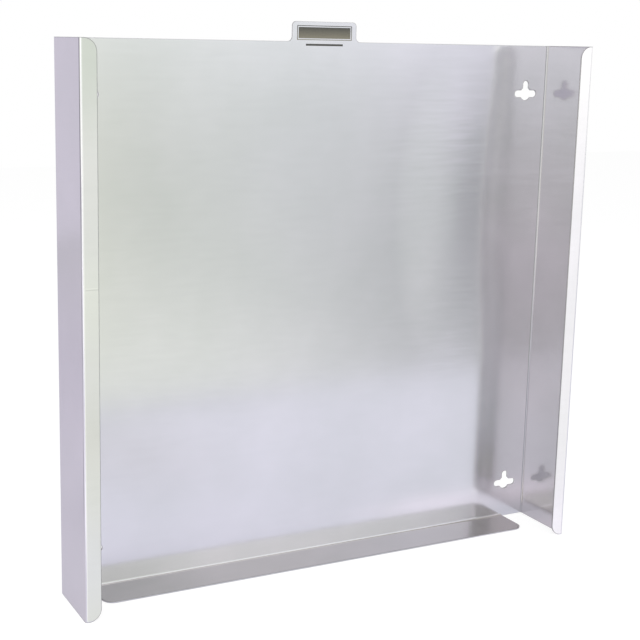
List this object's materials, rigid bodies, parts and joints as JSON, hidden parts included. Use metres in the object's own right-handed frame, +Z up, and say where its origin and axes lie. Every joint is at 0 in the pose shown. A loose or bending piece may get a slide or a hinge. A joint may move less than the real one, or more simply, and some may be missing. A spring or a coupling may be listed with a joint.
{
  "type": "disposable glove dispenser",
  "caption": "Wall rack folded from steel sheet: back panel, side walls with inward lips, a narrow shelf, keyholes and a tab.",
  "frame": {"origin": "middle of the four keyholes, on the wall plane (the back panel's rear face)", "axes": "+Z up, +Y out of the rear face into the wall, -Y towards the user, +X to the right as the user sees it"},
  "size_m": [0.4, 0.055, 0.399],
  "materials": {
    "satin_steel": "satin stainless steel sheet with a faint level grain",
    "print_ink": "thin matt olive grey ink"
  },
  "bodies": {
    "root": {"folded_sheet": "satin_steel", "tab_print": "print_ink"}
  },
  "joints": []
}
